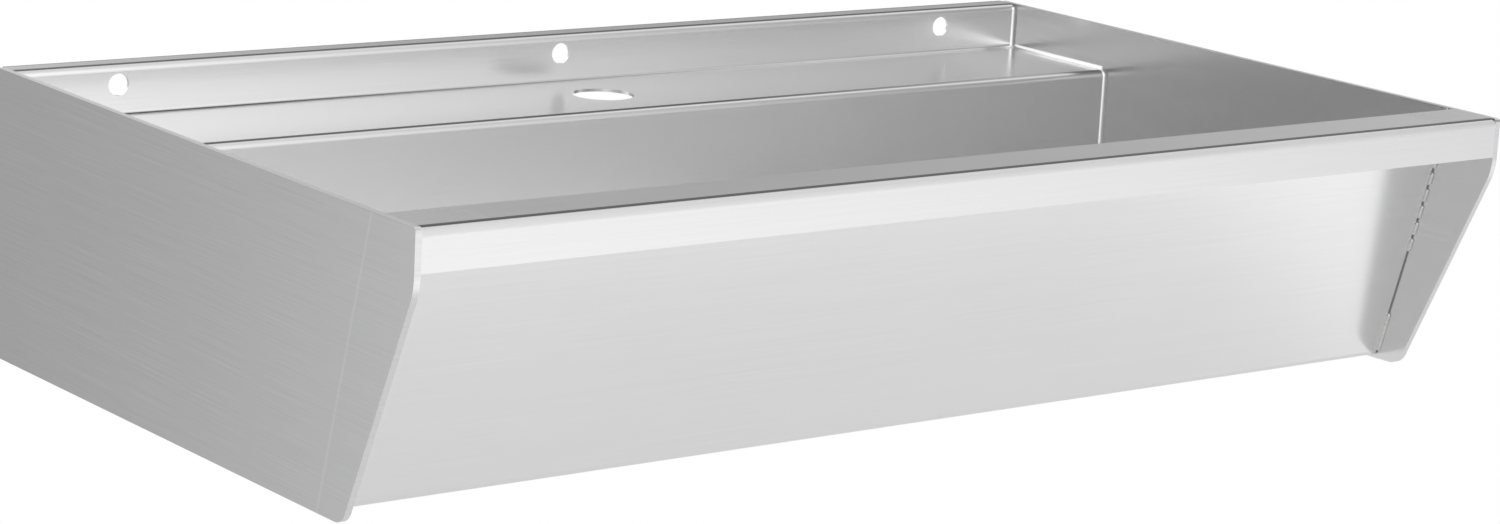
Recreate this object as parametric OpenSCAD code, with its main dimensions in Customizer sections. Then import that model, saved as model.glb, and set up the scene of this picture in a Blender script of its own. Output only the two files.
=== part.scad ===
// Wall-hung stainless trough sink: one folded sheet between two welded cheek plates.
// +X runs to the right, +Y towards the wall, +Z up.
// The wall is the plane y = 0, the top edge is z = 0 and the middle of the length is x = 0.

/* [Overall] */
// Length along the wall, over both cheeks
length = 600; // [400:10:2400]
// Depth from the wall to the face of the front lip
depth = 365; // [330:1:450]
// Height of a cheek at the wall
height = 136; // [125:1:200]
// How much the underside rises from the wall to the front
fall = 5.5; // [0:0.5:10]

/* [Folded sheet] */
// Thickness of the folded sheet
sheet_t = 1.5; // [1:0.1:2]
// Inside radius of each fold
bend_r = 2; // [1.9:0.1:3.5]
// Depth of the flat return between the wall and the upstand
return_d = 13; // [8:0.5:25]
// Height of the upstand above the tap ledge
upstand_h = 23.5; // [20:0.5:50]
// Depth of the tap ledge
ledge_d = 77; // [50:1:95]
// Width of the rim, from the lip to the plane of the front wall's inside
rim_w = 30; // [20:0.5:45]
// Height of the lip that hangs from the rim
lip_h = 18.5; // [10:0.5:22]
// Lean of the front wall from upright, in degrees
front_lean = 14.9; // [5:0.1:20]

/* [Cheeks] */
// Thickness of a cheek plate
cheek_t = 3; // [1.5:0.5:5]
// Height of the upright part of the front edge
brow_h = 25; // [24:0.5:40]
// Lean of the front edge below it from upright, in degrees
cheek_lean = 24.6; // [15:0.1:30]
// Radius of the soft bend between the two parts of the front edge
brow_r = 25; // [5:1:60]
// Radius of the toe, at the front of the bottom edge
toe_r = 9; // [3:0.5:15]
// Radius of the two corners at the wall
wall_corner_r = 2; // [0.5:0.1:4]
// Radius of the top corner at the front
lip_corner_r = 1.5; // [0.5:0.1:3]
// Height of the trough's underside above the bottom edge of the cheeks
foot_gap = 1.5; // [0.5:0.1:4]

/* [Holes] */
// Diameter of the tap hole in the ledge
tap_hole_d = 31; // [20:0.5:38]
// Diameter of each fixing hole in the upstand
fixing_hole_d = 10.5; // [6:0.5:11.5]
// Depth of the fixing holes' centres below the top edge
fixing_drop = 9.5; // [9.3:0.1:12]
// Distance from each end to the centre of the outer fixing hole
fixing_inset = 55; // [25:1:90]

/* [Welds] */
// Leg of the ground fillet inside the trough
weld_leg = 1.8; // [0.8:0.1:1.8]
// Radius of the stitch beads under the rim
stitch_r = 1.4; // [0.8:0.1:2]
// Length of one stitch bead between its round ends
stitch_l = 4.5; // [2:0.5:5]
// Distance from one stitch bead to the next
stitch_pitch = 9; // [8.5:0.5:14]
// Length of the plain joint between the stitches and the foot bead
plain_joint = 36; // [10:1:50]
// Length of the single bead at the foot of each joint
foot_bead_l = 18; // [8:1:24]

/* [Outlet in the floor] */
// Distance from the bowl's rear wall to the outlet's centre
outlet_back = 55; // [54:1:120]
// Radius of the hole in the pressed seat
outlet_r = 27; // [25:0.5:28]
// Radius of the flat seat round it
seat_r = 40.5; // [39:0.5:44]
// Depth of the seat below the floor
seat_d = 3.5; // [3:0.5:6]

/* [Strainer] */
// Thickness of the strainer plate
strainer_t = 1.2; // [0.8:0.1:1.5]
// Depth of its dished middle
dish_d = 3; // [2.5:0.5:4]
// Radius of each drain hole
drain_r = 3; // [1.5:0.5:3.5]
// Radius of the clamping screw's thread
screw_r = 3; // [2:0.5:4]

/* [Waste body] */
// Thickness of the seal above the seat
upper_seal_t = 1; // [0.6:0.1:1.5]
// Thickness of the seal below the seat
lower_seal_t = 2; // [1:0.5:4]
// Radius of the body's top flange
flange_r = 36; // [34:0.5:42]
// Thickness of the top flange
flange_t = 3; // [2:0.5:5]
// Height of the funnel, flange included
funnel_d = 8; // [6:0.5:14]
// Outer radius of the outlet spigot, for a nut of one and a half inches
spigot_r = 23.9; // [22:0.1:26]
// Inner radius of the spigot
spigot_bore_r = 20; // [16:0.5:21]
// Length of the spigot below the funnel
spigot_l = 26; // [20:1:40]

/* [Hidden] */
$fn = 64;

// How far a cutting shape runs past what it cuts
overrun = 1;
// How far an arc stands outside its tangents, so that it crosses them cleanly
ease = 0.002;

steel = [0.78, 0.79, 0.80];
plate_steel = [0.66, 0.67, 0.68];
bright_weld = [0.90, 0.90, 0.91];
rough_weld = [0.55, 0.54, 0.52];
polished = [0.84, 0.85, 0.86];
rubber = [0.10, 0.10, 0.11];
grey_plastic = [0.42, 0.43, 0.44];
brass = [0.75, 0.60, 0.30];

// The trough fits between the inner faces of the cheeks
inner_half = length / 2 - cheek_t;
underside_slope = fall / depth;
underside_tilt = atan(underside_slope);
// Height of the floor's top face above the line of the cheeks' bottom edges
floor_lift = (foot_gap + sheet_t) / cos(underside_tilt);

// Height of the cheeks' bottom edge at a distance y from the wall
function foot_line(y) = -height - underside_slope * y;
// Where a line that leans back from a start point meets the foot line raised by a lift
function meet_foot(start, lean, lift) =
    let (drop = (start.y - foot_line(start.x) - lift) / (1 - underside_slope * tan(lean)))
    start + drop * [tan(lean), -1];

// Sharp corners of the sheet's upper face as [y, z], from the wall to the lip
rear_wall_y = -(return_d + ledge_d);
front_top = [rim_w - depth, 0];
fold_path = [
    [0, 0],
    [-return_d, 0],
    [-return_d, -upstand_h],
    [rear_wall_y, -upstand_h],
    [rear_wall_y, foot_line(rear_wall_y) + floor_lift],
    meet_foot(front_top, front_lean, floor_lift),
    front_top,
    [-depth, 0],
    [-depth, -lip_h]
];

// Corners of a cheek and the radius at each
brow = [-depth, -brow_h];
cheek_corners = [
    [0, 0],
    [-depth, 0],
    brow,
    meet_foot(brow, cheek_lean, 0),
    [0, -height]
];
cheek_radii = [wall_corner_r, lip_corner_r, brow_r, toe_r, wall_corner_r];

// The fillet's hollow face is an arc whose centre lies this many legs from both faces
weld_hollow_share = 1.6;
// The fillet runs out over this share of the top folds
weld_run_share = 1 / 3;
// How much smaller the fillet is round a fold
weld_ease = 0.01;
first_weld_corner = 1;
last_weld_corner = 6;

// Length of plain joint above the first stitch
plain_top_l = 12;
front_wall = len(fold_path) - 4;
front_wall_l = norm(fold_path[front_wall + 1] - fold_path[front_wall]);
foot_bead_lift = 3;
stitch_room = front_wall_l - plain_top_l - plain_joint - foot_bead_l - foot_bead_lift;
stitch_count = floor(stitch_room / stitch_pitch);

// Pressed seat for the waste, in a frame on the floor's top face at the outlet
outlet_y = rear_wall_y - outlet_back;
press_r = 1;
seat_run = 2.5;
press_flat = 6;
recess_r = seat_r + seat_run;
pressing_r = recess_r + press_flat;
seat_path = [
    [pressing_r, 0],
    [recess_r, 0],
    [seat_r, -seat_d],
    [outlet_r, -seat_d]
];

// Strainer: flange on the upper seal, dish inside the outlet hole
seal_clear = 1;
strainer_clear = 0.5;
strainer_r = seat_r - strainer_clear;
strainer_z = upper_seal_t + strainer_t - seat_d;
dish_top_r = outlet_r - seal_clear;
dish_run = 2.5;
dish_r = dish_top_r - dish_run;
dish_z = strainer_z - dish_d;
screw_clear = 0.3;
strainer_path = [
    [strainer_r, strainer_z],
    [dish_top_r, strainer_z],
    [dish_r, dish_z],
    [screw_r + screw_clear, dish_z]
];
drain_ring_shares = [0.45, 0.77];
drain_counts = [6, 12];

// Seals
seal_inner_r = outlet_r + seal_clear;
upper_seal_r = strainer_r - seal_clear;
lower_seal_z = -seat_d - sheet_t;
lower_seal_r = flange_r - seal_clear;

// Waste body below the lower seal
body_z = lower_seal_z - lower_seal_t;
funnel_z = body_z - funnel_d;
spigot_z = funnel_z - spigot_l;
body_wall = 3.5;
cone_over = 2;
thread_chamfer = 1.2;
rib_h = 5;
rib_t = 2.5;
rib_count = 3;
rib_drop = 1;
bridge_z = funnel_z - rib_drop - rib_h;
boss_top = body_z - flange_t;
boss_wall = 2.5;
body_profile = [
    [outlet_r, body_z],
    [flange_r, body_z],
    [flange_r, body_z - flange_t],
    [outlet_r + body_wall, body_z - flange_t],
    [spigot_r, funnel_z - cone_over],
    [spigot_r, spigot_z + thread_chamfer],
    [spigot_r - thread_chamfer, spigot_z],
    [spigot_bore_r, spigot_z],
    [spigot_bore_r, funnel_z],
    [outlet_r, body_z - flange_t]
];

// Threaded insert in the bridge, and the screw in it
insert_wall = 1.5;
insert_collar = 1;
thread_clear = 0.1;
insert_bore_r = screw_r + thread_clear;
insert_r = insert_bore_r + insert_wall;
head_r = 2 * screw_r;
head_h = 2.6;
head_chamfer = 0.7;
slot_w = 1.4;
slot_d = 1.3;
screw_tail = 2;

// Plane geometry
function unit(v) = v / norm(v);
function heading(a, b) = atan2(b.y - a.y, b.x - a.x);
// Turn at corner i of a path in degrees, positive to the left
function turn(path, i) =
    let (
        before = unit(path[i] - path[i - 1]),
        after = unit(path[i + 1] - path[i])
    )
    atan2(cross(before, after), before * after);
// Radius of the path's own face at a corner: the sheet lies to the left of the path
function face_r(path, i, thick, radius) = turn(path, i) > 0 ? radius + thick : radius;
// Length of straight sheet that a fold at corner i takes from each side
function setback(path, i, thick, radius) =
    face_r(path, i, thick, radius) * tan(abs(turn(path, i)) / 2);
function polar(radius, angle) = radius * [cos(angle), sin(angle)];
// A direction turned a quarter to the left
function left_of(v) = [-v.y, v.x];
// Corner i of the sheet's other face
function far_corner(path, i, thick) =
    let (
        last = len(path) - 1,
        before = left_of(unit(path[max(i, 1)] - path[max(i, 1) - 1])),
        after = left_of(unit(path[min(i + 1, last)] - path[min(i + 1, last) - 1]))
    )
    path[i] + thick * (before + after) / (1 + before * after);

// Wedge between two angles less than a half turn apart, whose arc would have a radius
module wedge(reach, from, to) {
    half = (to - from) / 2;
    polygon([[0, 0], polar(reach, from), polar(reach / cos(half), from + half), polar(reach, to)]);
}

// What lies between an arc and the corner that it rounds
module corner_piece(radius, reach, from, to) {
    difference() {
        wedge(radius + reach, from, to);
        circle(radius + ease);
    }
}

// Moves to corner i of a path, with x along the straight before it
module at_corner(path, i) {
    translate(path[i]) rotate(heading(path[i - 1], path[i])) children();
}

// Moves to the centre of the fold at corner i
module at_fold(path, i, thick, radius) {
    side = sign(turn(path, i));
    at_corner(path, i)
        translate([-setback(path, i, thick, radius), side * face_r(path, i, thick, radius)])
            children();
}

// Section of a sheet whose face follows a path of sharp corners
module band(path, thick) {
    polygon(concat(path, [for (i = [len(path) - 1 : -1 : 0]) far_corner(path, i, thick)]));
}

// The same with each corner folded to an inside radius
module folded(path, thick, radius) {
    last = len(path) - 1;
    difference() {
        union() {
            band(path, thick);
            for (i = [1 : last - 1]) {
                start = -90 * sign(turn(path, i));
                at_fold(path, i, thick, radius)
                    corner_piece(radius, thick / 2, start, start + turn(path, i));
            }
        }
        for (i = [1 : last - 1]) {
            start = -90 * sign(turn(path, i));
            at_fold(path, i, thick, radius)
                corner_piece(radius + thick, overrun, start, start + turn(path, i));
        }
    }
}

// Convex outline, listed to the left, with a true arc at each corner
module rounded(corners, radii) {
    count = len(corners);
    difference() {
        polygon(corners);
        for (i = [0 : count - 1]) {
            before = heading(corners[(i + count - 1) % count], corners[i]);
            bend = turn([corners[(i + count - 1) % count], corners[i], corners[(i + 1) % count]], 1);
            translate(corners[i])
                rotate(before)
                    translate([-radii[i] * tan(bend / 2), radii[i]])
                        corner_piece(radii[i], overrun, -90, bend - 90);
        }
    }
}

// Turns a drawing in [y, z] upright, so that what is extruded runs along the length
module side_view() {
    rotate([90, 0, 90]) children();
}

// Moves to the outlet, square to the sloping floor
module at_outlet() {
    translate([0, outlet_y, foot_line(outlet_y) + floor_lift])
        rotate([-underside_tilt, 0, 0])
            children();
}

// Round hole or rod along z, past both faces of a sheet that lies below z = 0
module sheet_cut(radius, thick) {
    translate([0, 0, -thick - overrun]) cylinder(h = thick + 2 * overrun, r = radius);
}

// One folded sheet: return, upstand, tap ledge, bowl, front wall, rim and lip
module trough_sheet() {
    color(steel) union() {
        difference() {
            translate([-inner_half, 0, 0])
                side_view()
                    linear_extrude(2 * inner_half)
                        folded(fold_path, sheet_t, bend_r);
            for (x = [fixing_inset - length / 2, 0, length / 2 - fixing_inset])
                translate([x, -return_d, -fixing_drop])
                    rotate([90, 0, 0])
                        sheet_cut(fixing_hole_d / 2, sheet_t);
            translate([0, -return_d - ledge_d / 2, -upstand_h]) sheet_cut(tap_hole_d / 2, sheet_t);
            at_outlet() sheet_cut(pressing_r, sheet_t);
        }
        at_outlet() rotate_extrude() folded(seat_path, sheet_t, press_r);
    }
}

// Flat end plate with a leaning front edge
module cheek() {
    color(plate_steel)
        translate([inner_half, 0, 0])
            side_view()
                linear_extrude(cheek_t)
                    rounded(cheek_corners, cheek_radii);
}

module left_cheek() {
    mirror([1, 0, 0]) cheek();
}

module right_cheek() {
    cheek();
}

// Section of the ground fillet, drawn in by an ease: x away from the sheet, y away from the cheek
module weld_section(ease) {
    centre = weld_leg * weld_hollow_share;
    difference() {
        polygon([[ease, ease], [weld_leg, ease], [ease, weld_leg]]);
        translate([centre, centre]) circle(norm([centre, centre - weld_leg]) + ease);
    }
}

// Fillet round part of the fold at corner i, from one share of its turn to another.
// It is a touch smaller than the straights, so that their ends cover its ends.
module weld_fold(i, from_share, to_share) {
    angle = turn(fold_path, i);
    side = sign(angle);
    start = angle * (side > 0 ? from_share : to_share) - 90 * side;
    at_fold(fold_path, i, sheet_t, bend_r)
        rotate(start)
            rotate_extrude(angle = abs(angle) * (to_share - from_share))
                translate([face_r(fold_path, i, sheet_t, bend_r), 0])
                    mirror([side > 0 ? 0 : 1, 0])
                        weld_section(weld_ease);
}

// Fillet along the straight that ends at corner i
module weld_straight(i) {
    before = setback(fold_path, i - 1, sheet_t, bend_r);
    after = setback(fold_path, i, sheet_t, bend_r);
    run = norm(fold_path[i] - fold_path[i - 1]);
    at_corner(fold_path, i)
        translate([before - run - weld_ease, 0, 0])
            rotate([90, 0, 90])
                linear_extrude(run - before - after + 2 * weld_ease)
                    mirror([1, 0])
                        weld_section(0);
}

// Ground and polished fillet between the trough and the left cheek, from upstand to rim
module corner_weld() {
    color(bright_weld)
        translate([-inner_half, 0, 0])
            side_view() {
                weld_fold(first_weld_corner, 1 - weld_run_share, 1);
                for (i = [first_weld_corner + 1 : last_weld_corner]) weld_straight(i);
                for (i = [first_weld_corner + 1 : last_weld_corner - 1]) weld_fold(i, 0, 1);
                weld_fold(last_weld_corner, 0, weld_run_share);
            }
}

module left_corner_weld() {
    corner_weld();
}

module right_corner_weld() {
    mirror([1, 0, 0]) corner_weld();
}

// Bead along x in the corner of the planes y = 0 and z = 0, with round ends
module bead(run) {
    intersection() {
        union() {
            rotate([0, 90, 0]) cylinder(h = run, r = stitch_r);
            sphere(stitch_r);
            translate([run, 0, 0]) sphere(stitch_r);
        }
        translate([-stitch_r - overrun, 0, 0])
            cube([run + 2 * (stitch_r + overrun), stitch_r + overrun, stitch_r + overrun]);
    }
}

// Stitches outside the trough, between the front wall and the left cheek
module stitch_welds() {
    color(rough_weld)
        translate([-inner_half, 0, 0])
            side_view()
                at_corner(fold_path, front_wall + 1)
                    translate([-front_wall_l, sheet_t, 0]) {
                        translate([foot_bead_lift, 0, 0]) bead(foot_bead_l);
                        for (i = [1 : stitch_count])
                            translate([front_wall_l - plain_top_l - i * stitch_pitch, 0, 0])
                                bead(stitch_l);
                    }
}

module left_stitch_welds() {
    stitch_welds();
}

module right_stitch_welds() {
    mirror([1, 0, 0]) stitch_welds();
}

// Pressed strainer with two rings of drain holes
module strainer_plate() {
    color(polished)
        at_outlet()
            difference() {
                rotate_extrude() band(strainer_path, strainer_t);
                for (ring = [0 : len(drain_counts) - 1], k = [1 : drain_counts[ring]])
                    rotate(360 * k / drain_counts[ring])
                        translate([dish_r * drain_ring_shares[ring], 0, dish_z])
                            sheet_cut(drain_r, strainer_t);
            }
}

// Slotted screw that clamps the strainer to the bridge
module strainer_screw() {
    shank_l = dish_z - bridge_z + screw_tail;
    color(polished)
        at_outlet()
            translate([0, 0, dish_z])
                difference() {
                    union() {
                        translate([0, 0, -shank_l]) cylinder(h = shank_l, r = screw_r);
                        cylinder(h = head_h - head_chamfer, r = head_r);
                        translate([0, 0, head_h - head_chamfer])
                            cylinder(h = head_chamfer, r1 = head_r, r2 = head_r - head_chamfer);
                    }
                    translate([-head_r - overrun, -slot_w / 2, head_h - slot_d])
                        cube([2 * (head_r + overrun), slot_w, slot_d + overrun]);
                }
}

// Flat ring whose top face lies at a height
module seal(inner, outer, top, thick) {
    color(rubber)
        at_outlet()
            translate([0, 0, top - thick])
                linear_extrude(thick)
                    difference() {
                        circle(outer);
                        circle(inner);
                    }
}

module upper_seal() {
    seal(seal_inner_r, upper_seal_r, upper_seal_t - seat_d, upper_seal_t);
}

module lower_seal() {
    seal(seal_inner_r, lower_seal_r, lower_seal_z, lower_seal_t);
}

// Moulded funnel with its spigot and the bridge that carries the insert
module waste_body() {
    color(grey_plastic)
        at_outlet()
            difference() {
                union() {
                    rotate_extrude() polygon(body_profile);
                    for (k = [1 : rib_count])
                        rotate(360 * k / rib_count)
                            translate([0, -rib_t / 2, bridge_z])
                                cube([(spigot_bore_r + spigot_r) / 2, rib_t, rib_h]);
                    translate([0, 0, bridge_z])
                        cylinder(h = boss_top - bridge_z, r = insert_r + boss_wall);
                }
                translate([0, 0, bridge_z - overrun])
                    cylinder(h = boss_top - bridge_z + 2 * overrun, r = insert_r);
            }
}

// Threaded bush with a collar, pressed into the bridge
module bridge_insert() {
    color(brass)
        at_outlet()
            difference() {
                union() {
                    translate([0, 0, bridge_z]) cylinder(h = boss_top - bridge_z, r = insert_r);
                    translate([0, 0, boss_top]) cylinder(h = insert_collar, r = insert_r + insert_collar);
                }
                translate([0, 0, bridge_z - overrun])
                    cylinder(h = boss_top + insert_collar - bridge_z + 2 * overrun, r = insert_bore_r);
            }
}

trough_sheet();
left_cheek();
right_cheek();
left_corner_weld();
right_corner_weld();
left_stitch_welds();
right_stitch_welds();
strainer_plate();
strainer_screw();
upper_seal();
lower_seal();
waste_body();
bridge_insert();
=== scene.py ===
import math

import bpy
from mathutils import Matrix

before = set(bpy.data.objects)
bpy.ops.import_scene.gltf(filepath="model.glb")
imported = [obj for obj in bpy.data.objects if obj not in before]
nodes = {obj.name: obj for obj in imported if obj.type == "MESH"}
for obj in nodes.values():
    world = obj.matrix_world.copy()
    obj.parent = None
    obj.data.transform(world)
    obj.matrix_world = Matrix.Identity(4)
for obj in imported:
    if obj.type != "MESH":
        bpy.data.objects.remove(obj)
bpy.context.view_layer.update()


# The trough sheet
# One stainless sheet of 1.5 mm, folded on a press brake into return, upstand, tap ledge,
# bowl, sloped front wall, rim and lip. The floor has a pressed seat for the waste.

MM = 0.001

# Worked metal has fine strokes, and coarse ones that are larger and fainter. Together they
# add up to values in STROKE_RANGE. CLOUD is the size of the slow changes on large flats.
COARSE_SIZE = 4
COARSE_SHARE = 0.4
STROKE_RANGE = (0.35, 1.05)
CLOUD = 60 * MM
CLOUD_RANGE = (0.4, 1.6)
GLOSS_SPREAD = 0.02


def linear(hex_colour):
    """An sRGB colour such as "c8c8c6" as linear red, green, blue and alpha."""
    parts = [int(hex_colour[i:i + 2], 16) / 255 for i in (0, 2, 4)]
    return [p / 12.92 if p <= 0.04045 else ((p + 0.055) / 1.055) ** 2.4 for p in parts] + [1.0]


def add(tree, kind, links=None, values=None, **settings):
    """Adds a node with its settings, its links from other sockets and its fixed values.
    A Mix node's colours are its sockets 6 and 7, and its mixed colour is output 2."""
    made = tree.nodes.new(kind)
    for name, value in settings.items():
        setattr(made, name, value)
    for socket, value in (values or {}).items():
        made.inputs[socket].default_value = value
    for socket, source in (links or {}).items():
        tree.links.new(source, made.inputs[socket])
    return made


def start_material(name):
    """A material with a node tree, its shader and the piece's own coordinates in metres."""
    material = bpy.data.materials.new(name)
    material.use_nodes = True
    tree = material.node_tree
    tree.nodes.clear()
    shader = add(tree, "ShaderNodeBsdfPrincipled")
    add(tree, "ShaderNodeOutputMaterial", {"Surface": shader.outputs[0]})
    return material, tree, shader, add(tree, "ShaderNodeTexCoord").outputs["Object"]


def set_looks(tree, shader, looks):
    """Links sockets to the shader's own, each under its name there."""
    for name, source in looks.items():
        tree.links.new(source, shader.inputs[name])


def strokes(tree, place, grain_mm, detail, roughness):
    """Noise that is drawn out into strokes of grain_mm along X, Y and Z."""
    scale = [1 / (side * MM) for side in grain_mm]
    stretched = add(tree, "ShaderNodeMapping", {"Vector": place}, {"Scale": scale})
    noise = add(tree, "ShaderNodeTexNoise", {"Vector": stretched.outputs[0]},
                {"Scale": 1.0, "Detail": detail, "Roughness": roughness})
    return noise.outputs[0]


def worked_metal(name, dark, light, grain_mm, roughness, relief_mm):
    """Metal whose surface was worked in strokes of grain_mm along X, Y and Z. They set its tone
    from dark to light, its roughness about a middle, and a relief of relief_mm. A slow cloud in
    the roughness keeps large flats from looking printed."""
    material, tree, shader, place = start_material(name)
    coarse_mm = [COARSE_SIZE * side for side in grain_mm]
    fine, coarse = (strokes(tree, place, size, detail=3.0, roughness=0.6)
                    for size in (grain_mm, coarse_mm))
    both = add(tree, "ShaderNodeMath", {0: coarse, 2: fine}, {1: COARSE_SHARE},
               operation="MULTIPLY_ADD")
    height = add(tree, "ShaderNodeMapRange", {"Value": both.outputs[0]},
                 {"From Min": STROKE_RANGE[0], "From Max": STROKE_RANGE[1]})
    tone = add(tree, "ShaderNodeMix", {0: height.outputs[0]},
               {6: linear(dark), 7: linear(light)}, data_type="RGBA")
    cloud = add(tree, "ShaderNodeTexNoise", {"Vector": place}, {"Scale": 1 / CLOUD, "Detail": 2.0})
    clouded = add(tree, "ShaderNodeMath", {0: cloud.outputs[0], 1: height.outputs[0]},
                  operation="ADD")
    gloss = add(tree, "ShaderNodeMapRange", {"Value": clouded.outputs[0]},
                {"From Min": CLOUD_RANGE[0], "From Max": CLOUD_RANGE[1],
                 "To Min": roughness - GLOSS_SPREAD, "To Max": roughness + GLOSS_SPREAD})
    relief = add(tree, "ShaderNodeBump", {"Height": height.outputs[0]},
                 {"Strength": 1.0, "Distance": relief_mm * MM})
    set_looks(tree, shader, {"Base Color": tone.outputs[2], "Roughness": gloss.outputs[0],
                             "Normal": relief.outputs[0]})
    shader.inputs["Metallic"].default_value = 1.0
    return material, tree, shader, tone.outputs[2], gloss.outputs[0]


def whereabouts(tree):
    """A piece's coordinates in metres, the same by axis, the distance from the middle of its
    length, and the outward direction of its surface by axis."""
    place = add(tree, "ShaderNodeTexCoord").outputs["Object"]
    sides = add(tree, "ShaderNodeSeparateXYZ", {0: place}).outputs
    from_middle = add(tree, "ShaderNodeMath", {0: sides["X"]}, operation="ABSOLUTE").outputs[0]
    normal = add(tree, "ShaderNodeNewGeometry").outputs["Normal"]
    return place, sides, from_middle, add(tree, "ShaderNodeSeparateXYZ", {0: normal}).outputs


def mark(tree, strength, *ramps):
    """How strongly a mark shows, from 0 to strength: a product of ramps. A ramp is a socket in
    metres, then the value in mm where the mark begins and the one where it shows in full."""
    shows = None
    for source, begins, full in ramps:
        ramp = add(tree, "ShaderNodeMapRange", {"Value": source},
                   {"From Min": begins * MM, "From Max": full * MM,
                    "To Max": strength if shows is None else 1.0})
        shows = ramp if shows is None else add(
            tree, "ShaderNodeMath", {0: shows.outputs[0], 1: ramp.outputs[0]}, operation="MULTIPLY")
    return shows.outputs[0]


def dress(node, material):
    """Gives a CAD node its finish."""
    mesh = nodes[node].data
    mesh.materials.clear()
    mesh.materials.append(material)


# Satin stainless steel, belt-ground along its length: pale, with a soft mirror that stays
# clear at a low angle. Real strokes are some 0.05 mm wide; they are drawn 0.5 mm wide to show.
sheet_finish, tree, shader, tone, gloss = worked_metal(
    "satin_stainless_sheet", dark="f4f4f4", light="fafafa",
    grain_mm=(70.0, 0.5, 0.5), roughness=0.23, relief_mm=0.0004)
place, sides, from_middle, facing = whereabouts(tree)

# The last 36 mm of the rim at each end was ground across after welding, up to a straight edge.
# Those strokes are drawn 0.6 mm wide, and they leave the steel a little rougher.
ZONE_ROUGHER = 0.05
end_zone = mark(tree, 1.0, (from_middle, 262, 264), (sides["Y"], -333, -334),
                (sides["Z"], -0.6, -0.3))
end_strokes = strokes(tree, place, (0.6, 30.0, 0.6), detail=3.0, roughness=0.5)
end_tone = add(tree, "ShaderNodeMix", {0: end_strokes},
               {6: linear("e2e2e2"), 7: linear("f1f1f1")}, data_type="RGBA")
tone = add(tree, "ShaderNodeMix", {0: end_zone, 6: tone, 7: end_tone.outputs[2]},
           data_type="RGBA").outputs[2]
gloss = add(tree, "ShaderNodeMath", {0: end_zone, 2: gloss}, {1: ZONE_ROUGHER},
            operation="MULTIPLY_ADD").outputs[0]

# Painted shade: a dark line along each fold stands in for the dark reflection in the bend: at
# the return's sheared edge, between return and upstand, upstand and ledge, ledge and rear wall,
# rim and lip. In mm, each has the Y where it starts and ends, the lowest Z of its skin, and the X
# where it starts to fade and where it is gone, where the bend's reflection turns light.
FOLD_SHADE_LINES = (
    (0.5, -1.2, -1.6, 400, 500),
    (-9.0, -11.4, -1.4, 400, 500),
    (-13.4, -14.8, -24.9, -160, 160),
    (-86.0, -88.5, -24.9, 60, 420),
    (-360.9, -363.5, -1.5, 400, 500),
)
FOLD_SHADE_STRENGTH = 0.9
FOLD_SHADE_EDGE = 0.4
SKIN_EDGE = 0.2

painted_fold_shade = None
for start, end, lowest, fades, gone in FOLD_SHADE_LINES:
    fold_shade_line = mark(tree, FOLD_SHADE_STRENGTH, (sides["Y"], start, start - FOLD_SHADE_EDGE),
                    (sides["Y"], end, end + FOLD_SHADE_EDGE),
                    (sides["Z"], lowest - SKIN_EDGE, lowest), (sides["X"], gone, fades))
    painted_fold_shade = fold_shade_line if painted_fold_shade is None else add(
        tree, "ShaderNodeMath", {0: painted_fold_shade, 1: fold_shade_line}, operation="ADD").outputs[0]
# The painted shade darkens the folds towards near black.
tone = add(tree, "ShaderNodeMix", {0: painted_fold_shade, 6: tone}, {7: linear("303030")},
           data_type="RGBA").outputs[2]

# Bending stretched the skin of the last fold, so that its lower half, above the lip, is matt.
SKIN_ROUGHER = 0.34
matt = mark(tree, SKIN_ROUGHER, (sides["Y"], -363.6, -364.1), (sides["Z"], -4.2, -3.4))
gloss = add(tree, "ShaderNodeMath", {0: gloss, 1: matt}, operation="ADD").outputs[0]

# Outside, a dark line is painted along the sheet's end where it meets the plates between the
# stitches: below the lip, where the sheet faces the front.
FRONTWARD = -0.7
SEAM_LINE_STRENGTH = 0.75
forwards = add(tree, "ShaderNodeMath", {0: facing["Y"]}, {1: FRONTWARD}, operation="LESS_THAN")
seam_line = mark(tree, SEAM_LINE_STRENGTH, (from_middle, 295.9, 296.3), (sides["Z"], -21.4, -21.6))
seam_line = add(tree, "ShaderNodeMath", {0: seam_line, 1: forwards.outputs[0]}, operation="MULTIPLY")
tone = add(tree, "ShaderNodeMix", {0: seam_line.outputs[0], 6: tone}, {7: linear("606060")},
           data_type="RGBA").outputs[2]

set_looks(tree, shader, {"Base Color": tone, "Roughness": gloss})
dress("trough_sheet", sheet_finish)


# The cheeks
# Two flat plates of 3 mm stainless, cut with a leaning front edge and a rounded toe, and
# welded to the ends of the trough. A faint light line is painted on each outer face as a
# reflection.

REFLECTION_LINE_TOP = (-331 * MM, -6 * MM)
REFLECTION_LINE_FOOT = (-298 * MM, -126 * MM)
REFLECTION_LINE_STRENGTH = 0.16
EDGE_ROUGHER = 0.10

# Satin stainless steel, belt-ground from the wall to the front: a grey, soft mirror. The
# strokes are drawn as wide as on the sheet.
cheek_finish, tree, shader, tone, gloss = worked_metal(
    "satin_stainless_plate", dark="d7d7d8", light="e0e0e1",
    grain_mm=(0.5, 60.0, 0.5), roughness=0.20, relief_mm=0.00025)
place, _, from_middle, facing = whereabouts(tree)

# The painted reflection line runs straight from its top to its foot, given as Y and Z. The
# distance from it is that of a point along the direction beside it, less that of the line itself.
run = (REFLECTION_LINE_FOOT[0] - REFLECTION_LINE_TOP[0], REFLECTION_LINE_FOOT[1] - REFLECTION_LINE_TOP[1])
run_length = math.hypot(*run)
beside = (0.0, -run[1] / run_length, run[0] / run_length)
line_at = REFLECTION_LINE_TOP[0] * beside[1] + REFLECTION_LINE_TOP[1] * beside[2]
distance = add(tree, "ShaderNodeVectorMath", {0: place}, {1: beside}, operation="DOT_PRODUCT")
distance = add(tree, "ShaderNodeMath", {0: distance.outputs["Value"]}, {1: line_at},
               operation="SUBTRACT")
distance = add(tree, "ShaderNodeMath", {0: distance.outputs[0]}, operation="ABSOLUTE")
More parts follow.
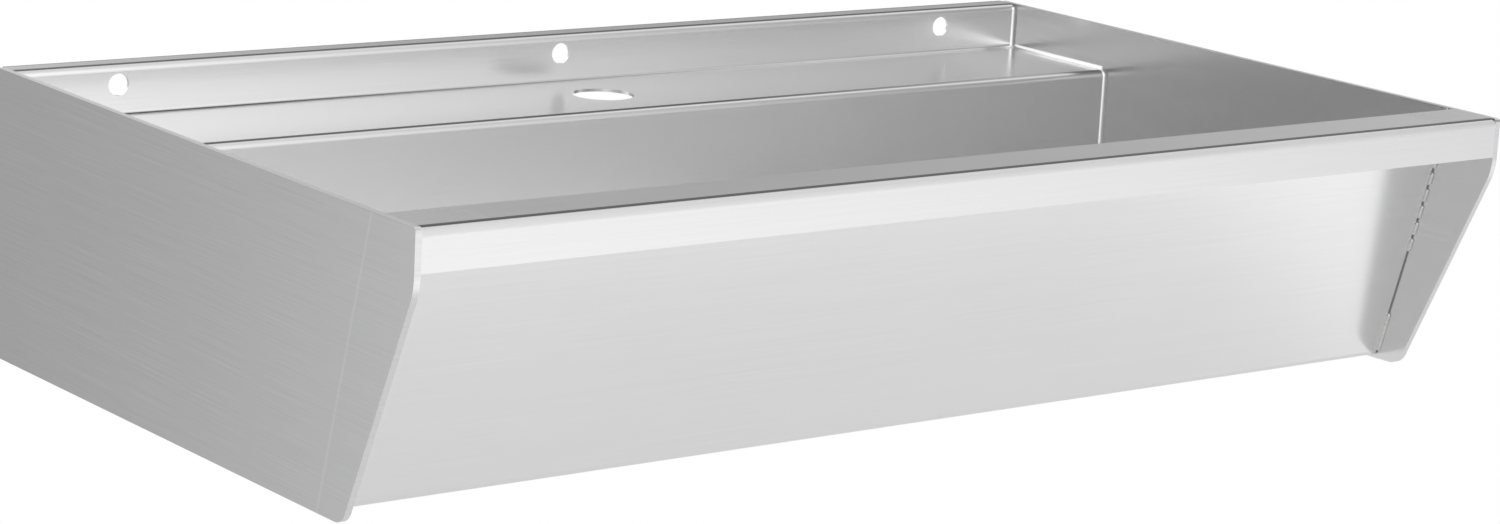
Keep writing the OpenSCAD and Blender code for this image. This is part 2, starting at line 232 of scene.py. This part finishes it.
# Painted reflection: the outer face is lightened towards white along the line.
painted_reflection_line = mark(tree, REFLECTION_LINE_STRENGTH, (distance.outputs[0], 1.2, 0.3), (from_middle, 299.4, 299.6))
tone = add(tree, "ShaderNodeMix", {0: painted_reflection_line, 6: tone}, {7: linear("ffffff")},
           data_type="RGBA").outputs[2]

# The cut edges were ground square to the plate: strokes across, drawn 0.7 mm wide to show,
# and less mirror.
sideways = add(tree, "ShaderNodeMath", {0: facing["X"]}, operation="ABSOLUTE")
on_edge = add(tree, "ShaderNodeMapRange", {"Value": sideways.outputs[0]},
              {"From Min": 0.3, "From Max": 0.7, "To Min": 1.0, "To Max": 0.0}).outputs[0]
edge_strokes = strokes(tree, place, (12.0, 0.7, 0.7), detail=2.0, roughness=0.5)
edge_tone = add(tree, "ShaderNodeMix", {0: edge_strokes},
                {6: linear("e6e6e6"), 7: linear("fafafa")}, data_type="RGBA")
tone = add(tree, "ShaderNodeMix", {0: on_edge, 6: tone, 7: edge_tone.outputs[2]},
           data_type="RGBA").outputs[2]
gloss = add(tree, "ShaderNodeMath", {0: on_edge, 2: gloss}, {1: EDGE_ROUGHER},
            operation="MULTIPLY_ADD").outputs[0]

set_looks(tree, shader, {"Base Color": tone, "Roughness": gloss})
for cheek in ("left_cheek", "right_cheek"):
    dress(cheek, cheek_finish)


# The corner welds
# TIG fillets of stainless filler that join the trough to the cheeks inside, ground hollow
# with a small wheel and then polished.

# Polished filler steel: paler than the sheet, so that the fillets shine as bright lines in the
# corners. The wheel's marks have no direction and are drawn 1.5 mm long to show.
weld_finish = worked_metal(
    "polished_weld_fillet", dark="f8f8f8", light="fefefe",
    grain_mm=(1.5, 1.5, 1.5), roughness=0.26, relief_mm=0.002)[0]
for weld in ("left_corner_weld", "right_corner_weld"):
    dress(weld, weld_finish)


# The stitch welds
# Short TIG beads outside, in the corner between the front wall and each cheek. They were only
# wire-brushed, so that the ripples of the weld pool and a trace of heat colour are left.

# Brushed weld bead: a duller sheen than the ground steel, faintly straw-coloured, with
# ripples about 1 mm long.
stitch_finish = worked_metal(
    "brushed_weld_bead", dark="d0cfcd", light="f2f2f0",
    grain_mm=(1.2, 1.2, 0.6), roughness=0.28, relief_mm=0.02)[0]
for stitches in ("left_stitch_welds", "right_stitch_welds"):
    dress(stitches, stitch_finish)


# The strainer plate and its screw
# A stainless disc, stamped with two rings of drain holes, dished and polished. One slotted
# stainless screw in the middle clamps it and the seals to the waste body.

# Polished stainless steel: a clearer mirror than the trough's, with faint rolling lines,
# drawn 0.4 mm wide to show.
strainer_finish = worked_metal(
    "polished_stainless_strainer", dark="d4d4d3", light="e4e4e3",
    grain_mm=(8.0, 0.4, 0.4), roughness=0.14, relief_mm=0.0008)[0]
dress("strainer_plate", strainer_finish)

# Turned stainless steel: a darker mirror, broken by tool marks drawn 0.3 mm apart to show.
screw_finish = worked_metal(
    "turned_stainless_screw", dark="c6c6c5", light="dcdcdb",
    grain_mm=(0.5, 0.5, 0.3), roughness=0.22, relief_mm=0.002)[0]
dress("strainer_screw", screw_finish)


# The seals
# Two flat rings of black nitrile rubber, cut from sheet, above and below the pressed seat,
# where the screw squeezes them between steel and plastic.

CUT_GRAIN = 0.8 * MM

# Cut rubber: nearly black and matt, with a dusty grain instead of a mirror. The real grain,
# some 0.1 mm, is drawn coarser to show.
rubber_finish, tree, shader, place = start_material("nitrile_rubber")
dust = add(tree, "ShaderNodeTexNoise", {"Vector": place}, {"Scale": 1 / CUT_GRAIN, "Detail": 4.0})
tone = add(tree, "ShaderNodeMix", {0: dust.outputs[0]},
           {6: linear("131313"), 7: linear("2c2c2c")}, data_type="RGBA")
gloss = add(tree, "ShaderNodeMapRange", {"Value": dust.outputs[0]},
            {"To Min": 0.55, "To Max": 0.80})
relief = add(tree, "ShaderNodeBump", {"Height": dust.outputs[0]},
             {"Strength": 1.0, "Distance": 0.02 * MM})
set_looks(tree, shader, {"Base Color": tone.outputs[2], "Roughness": gloss.outputs[0],
                         "Normal": relief.outputs[0]})
for seal in ("upper_seal", "lower_seal"):
    dress(seal, rubber_finish)


# The waste body
# Injection-moulded in grey polypropylene: a flanged funnel whose spigot has a pipe thread of
# 11 turns to the inch. Its axis leans by the fall of the floor, about a point on the seat.

THREAD_PITCH = 25.4 / 11 * MM
THREAD_HEIGHT = 2.2 * MM
THREAD_ROOT = 23 * MM
THREAD_TOP = -17 * MM
THREAD_FOOT = -40 * MM
OUTLET = (0.0, -145 * MM, -130.815 * MM)
FALL = math.radians(0.863)
SPARK_GRAIN = 0.35 * MM

# Polypropylene from a spark-eroded mould: mid grey, with a fine grain that takes its shine.
# The real grain, some 0.05 mm, is drawn coarser to show.
plastic_finish, tree, shader, place = start_material("moulded_grey_polypropylene")
skin = add(tree, "ShaderNodeTexNoise", {"Vector": place},
           {"Scale": 1 / SPARK_GRAIN, "Detail": 3.0})
tone = add(tree, "ShaderNodeMix", {0: skin.outputs[0]},
           {6: linear("62656a"), 7: linear("787a7e")}, data_type="RGBA")
gloss = add(tree, "ShaderNodeMapRange", {"Value": skin.outputs[0]},
            {"To Min": 0.38, "To Max": 0.56})

# The thread is relief only: its height is a triangle wave of the height along the spigot plus
# the share of a turn round it, so that the ridge climbs one pitch each turn.
squared = add(tree, "ShaderNodeMapping", {"Vector": place},
              {"Location": OUTLET, "Rotation": (-FALL, 0, 0)}, vector_type="TEXTURE").outputs[0]
along = add(tree, "ShaderNodeSeparateXYZ", {0: squared}).outputs
angle = add(tree, "ShaderNodeMath", {0: along["X"], 1: along["Y"]}, operation="ARCTAN2")
turns = add(tree, "ShaderNodeMath", {0: along["Z"]}, {1: THREAD_PITCH}, operation="DIVIDE")
helix = add(tree, "ShaderNodeMath", {0: angle.outputs[0], 2: turns.outputs[0]},
            {1: 1 / math.tau}, operation="MULTIPLY_ADD")
ridge = add(tree, "ShaderNodeMath", {0: helix.outputs[0]}, {1: 0.5}, operation="PINGPONG")

# It ends where the spigot does, and only the outside has it.
round_axis = add(tree, "ShaderNodeVectorMath", {0: squared}, {1: (1, 1, 0)},
                 operation="MULTIPLY")
radius = add(tree, "ShaderNodeVectorMath", {0: round_axis.outputs[0]}, operation="LENGTH")
THREAD_ENDS = (
    (radius.outputs["Value"], THREAD_ROOT, "GREATER_THAN"),
    (along["Z"], THREAD_TOP, "LESS_THAN"),
    (along["Z"], THREAD_FOOT, "GREATER_THAN"),
)
for source, limit, test in THREAD_ENDS:
    within = add(tree, "ShaderNodeMath", {0: source}, {1: limit}, operation=test)
    ridge = add(tree, "ShaderNodeMath", {0: ridge.outputs[0], 1: within.outputs[0]},
                operation="MULTIPLY")

grain = add(tree, "ShaderNodeBump", {"Height": skin.outputs[0]},
            {"Strength": 1.0, "Distance": 0.01 * MM})
relief = add(tree, "ShaderNodeBump", {"Height": ridge.outputs[0], "Normal": grain.outputs[0]},
             {"Strength": 1.0, "Distance": THREAD_HEIGHT})
set_looks(tree, shader, {"Base Color": tone.outputs[2], "Roughness": gloss.outputs[0],
                         "Normal": relief.outputs[0]})
shader.inputs["IOR"].default_value = 1.49
dress("waste_body", plastic_finish)


# The bridge insert
# A brass bush with a collar, turned from bar and pressed into the bridge of the waste body.
# Its thread takes the strainer's screw.

# Turned brass: a soft yellow mirror with tool marks round it, drawn 0.25 mm apart to show.
brass_finish = worked_metal(
    "turned_brass", dark="b8935a", light="d2ad6c",
    grain_mm=(0.5, 0.5, 0.25), roughness=0.22, relief_mm=0.002)[0]
dress("bridge_insert", brass_finish)


# The studio
# The trough hangs at its usual height, with its top edge 850 mm above a pale floor. A tent of
# soft light stands round it, brightest behind and in front, and the steel mirrors its greys.

RIM_HEIGHT = 850 * MM
FLOOR_HALF = 1250 * MM
FLOOR_MOTTLE = 250 * MM
FADE_STARTS = 550 * MM
FADE_ENDS = 1150 * MM

scene = bpy.context.scene
scene.view_settings.view_transform = "Standard"

floor_mesh = bpy.data.meshes.new("studio_floor")
floor_corners = [(x * FLOOR_HALF, y * FLOOR_HALF, -RIM_HEIGHT)
                 for x, y in ((-1, -1), (1, -1), (1, 1), (-1, 1))]
floor_mesh.from_pydata(floor_corners, [], [(0, 1, 2, 3)])
floor = bpy.data.objects.new("studio_floor", floor_mesh)
scene.collection.objects.link(floor)

# Matt floor paint: pale, rolled on a little unevenly, with hardly any sheen.
floor_finish, tree, shader, place = start_material("matt_pale_floor_paint")
mottle = add(tree, "ShaderNodeTexNoise", {"Vector": place},
             {"Scale": 1 / FLOOR_MOTTLE, "Detail": 3.0})
tone = add(tree, "ShaderNodeMix", {0: mottle.outputs[0]},
           {6: linear("f2f2f2"), 7: linear("f8f8f8")}, data_type="RGBA")
set_looks(tree, shader, {"Base Color": tone.outputs[2]})
shader.inputs["Roughness"].default_value = 0.9
shader.inputs["Specular IOR Level"].default_value = 0.1

# For the camera alone, the floor runs out into the white background well past the shadow.
from_foot = add(tree, "ShaderNodeVectorMath", {0: place}, {1: (1, 1, 0)}, operation="MULTIPLY")
from_foot = add(tree, "ShaderNodeVectorMath", {0: from_foot.outputs[0]}, operation="LENGTH")
runs_out = add(tree, "ShaderNodeMapRange", {"Value": from_foot.outputs["Value"]},
               {"From Min": FADE_STARTS, "From Max": FADE_ENDS},
               interpolation_type="SMOOTHSTEP")
camera_ray = add(tree, "ShaderNodeLightPath").outputs["Is Camera Ray"]
runs_out = add(tree, "ShaderNodeMath", {0: runs_out.outputs[0], 1: camera_ray},
               operation="MULTIPLY")
white = add(tree, "ShaderNodeEmission", values={"Color": linear("ffffff"), "Strength": 1.0})
seen = add(tree, "ShaderNodeMixShader",
           {0: runs_out.outputs[0], 1: shader.outputs[0], 2: white.outputs[0]})
tree.links.new(seen.outputs[0], tree.nodes["Material Output"].inputs["Surface"])
floor_mesh.materials.append(floor_finish)

# Soft lamps and grey screens on the tent: azimuth from +X towards +Y, height over the horizon
# and half width in degrees, and what each adds to the light. A screen takes light away.
LAMPS = (
    (96, 31, 42, 0.78),
    (-94, 31, 48, 0.70),
    (-60, -36, 38, 0.41),
    (144, -19, 29, 0.41),
    (21, 18, 57, 0.10),
)
SCREENS = (
    (175, 21, 63, -0.54),
    (104, -19, 30, -0.27),
    (64, 2, 37, -0.42),
    (-30, 21, 35, -0.47),
)
EVEN_SHARE = 0.3

# Under them, the tent's own light at the Z of a direction of length 1: low, at the horizon and
# high. DARKEST and BRIGHTEST bound the sum.
LOW_Z, HORIZON_Z, HIGH_Z = -0.8, 0.1, 0.9
LOW_LEVEL, HORIZON_LEVEL, HIGH_LEVEL = 0.66, 0.67, 0.68
DARKEST, BRIGHTEST = 0.20, 1.25

world = bpy.data.worlds.new("light_tent")
scene.world = world
world.use_nodes = True
tree = world.node_tree
tree.nodes.clear()
direction = add(tree, "ShaderNodeTexCoord").outputs["Generated"]
axes = add(tree, "ShaderNodeSeparateXYZ", {0: direction})
lower = add(tree, "ShaderNodeMapRange", {"Value": axes.outputs["Z"]},
            {"From Min": LOW_Z, "From Max": HORIZON_Z,
             "To Min": LOW_LEVEL, "To Max": HORIZON_LEVEL})
upper = add(tree, "ShaderNodeMapRange", {"Value": axes.outputs["Z"]},
            {"From Min": HORIZON_Z, "From Max": HIGH_Z, "To Max": HIGH_LEVEL - HORIZON_LEVEL})
tent = add(tree, "ShaderNodeMath", {0: lower.outputs[0], 1: upper.outputs[0]}, operation="ADD")
for azimuth, height, half_width, level in LAMPS + SCREENS:
    turn, rise, spread = (math.radians(degrees) for degrees in (azimuth, height, half_width))
    middle = (math.cos(rise) * math.cos(turn), math.cos(rise) * math.sin(turn), math.sin(rise))
    towards = add(tree, "ShaderNodeVectorMath", {0: direction}, {1: middle},
                  operation="DOT_PRODUCT")
    glow = add(tree, "ShaderNodeMapRange", {"Value": towards.outputs["Value"]},
               {"From Min": math.cos(spread), "From Max": math.cos(EVEN_SHARE * spread),
                "To Max": level}, interpolation_type="SMOOTHSTEP")
    tent = add(tree, "ShaderNodeMath", {0: tent.outputs[0], 1: glow.outputs[0]}, operation="ADD")
tent = add(tree, "ShaderNodeMath", {0: tent.outputs[0]}, {1: DARKEST}, operation="MAXIMUM")
tent = add(tree, "ShaderNodeMath", {0: tent.outputs[0]}, {1: BRIGHTEST}, operation="MINIMUM")

# The camera sees white behind the object, straight or through glass. The steel goes on
# mirroring the tent, because a white room would take all its greys away.
tent_light = add(tree, "ShaderNodeBackground", {"Strength": tent.outputs[0]},
                 {"Color": linear("ffffff")})
white = add(tree, "ShaderNodeBackground", values={"Color": linear("ffffff"), "Strength": 1.0})
path = add(tree, "ShaderNodeLightPath").outputs
direct = add(tree, "ShaderNodeMath",
             {0: path["Is Camera Ray"], 1: path["Is Transmission Ray"]}, operation="MAXIMUM")
seen = add(tree, "ShaderNodeMixShader",
           {0: direct.outputs[0], 1: tent_light.outputs[0], 2: white.outputs[0]})
add(tree, "ShaderNodeOutputWorld", {"Surface": seen.outputs[0]})


# The camera
# It stands in front and to the left of the trough, a little above the rim, and leans by three
# degrees. Its place and lens come from the straight edges of the real object.

CAMERA_PLACE = (-1.0395, -1.5579, 0.3110)
CAMERA_TURN = -37.012
CAMERA_TILT = 12.795
CAMERA_ROLL = 2.990
FOCAL_LENGTH = 90.40
SENSOR_WIDTH = 36.0

lens = bpy.data.cameras.new("studio_camera")
lens.sensor_fit = "HORIZONTAL"
lens.sensor_width = SENSOR_WIDTH
lens.lens = FOCAL_LENGTH
camera = bpy.data.objects.new("studio_camera", lens)
scene.collection.objects.link(camera)
camera.matrix_world = (Matrix.Translation(CAMERA_PLACE)
                       @ Matrix.Rotation(math.radians(CAMERA_TURN), 4, "Z")
                       @ Matrix.Rotation(math.radians(90 - CAMERA_TILT), 4, "X")
                       @ Matrix.Rotation(math.radians(CAMERA_ROLL), 4, "Z"))
scene.camera = camera
